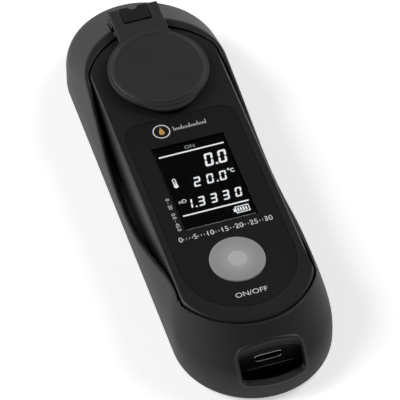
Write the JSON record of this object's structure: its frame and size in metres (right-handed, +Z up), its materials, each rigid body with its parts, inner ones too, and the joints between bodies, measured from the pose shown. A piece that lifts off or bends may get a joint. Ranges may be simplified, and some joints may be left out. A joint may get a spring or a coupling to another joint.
{
  "type": "refractometer",
  "caption": "Pocket digital refractometer: hard body with display and key in a soft scooped boot, hinged cap over a steel sample well, charging socket at the end.",
  "frame": {"origin": "on the underside of the boot, halfway along and across it", "axes": "+X across the instrument to the right of its display, +Y along it towards the sample well, +Z up out of the face"},
  "size_m": [0.0476, 0.1524, 0.0237],
  "materials": {
    "boot": "fine matt rubber",
    "case": "satin moulded plastic",
    "cover": "satin moulded plastic",
    "panel": "satin printed film",
    "window": "clear hard window",
    "lcd": "black display glass",
    "key": "turned silver grey",
    "steel": "turned stainless steel",
    "optical_glass": "polished",
    "board": "green solder mask",
    "component": "moulded black",
    "white_plastic": "matt white",
    "cell": "foil pouch",
    "seal": "silicone",
    "liner": "silicone",
    "foam": "foam",
    "lamp": "clear resin"
  },
  "bodies": {
    "instrument": {"rubber_boot": "boot", "lower_case": "case", "upper_case": "case", "case_seal": "seal", "case_screws": "steel", "face_overlay": "panel", "display_window": "window", "lcd_panel": "lcd", "backlight_tray": "white_plastic", "tact_switch": "component", "main_board": "board", "board_screws": "steel", "charge_board": "board", "charge_board_screws": "steel", "usb_shell": "steel", "usb_tongue": "component", "battery_cell": "cell", "battery_pad": "foam", "sample_well": "steel", "prism_seal": "seal", "prism": "optical_glass", "optics_block": "component", "optics_screws": "steel", "focus_lens": "optical_glass", "light_board": "board", "lamp": "lamp", "sensor_board": "board", "line_sensor": "component", "temperature_probe": "component", "hinge_pin": "steel"},
    "cover": {"prism_cover": "cover", "cover_liner": "liner"},
    "key": {"power_button": "key"}
  },
  "joints": [
    {"name": "cover_hinge", "type": "hinge", "parent": "instrument", "child": "cover", "pos_m": [0, 0.0607, 0.0209], "axis": [-1, 0, 0], "range_deg": [0, 120]},
    {"name": "key_press", "type": "slide", "parent": "instrument", "child": "key", "axis": [0, 0, -1], "range_m": [0, 0.0005], "stiffness_N_per_m": 1000}
  ]
}
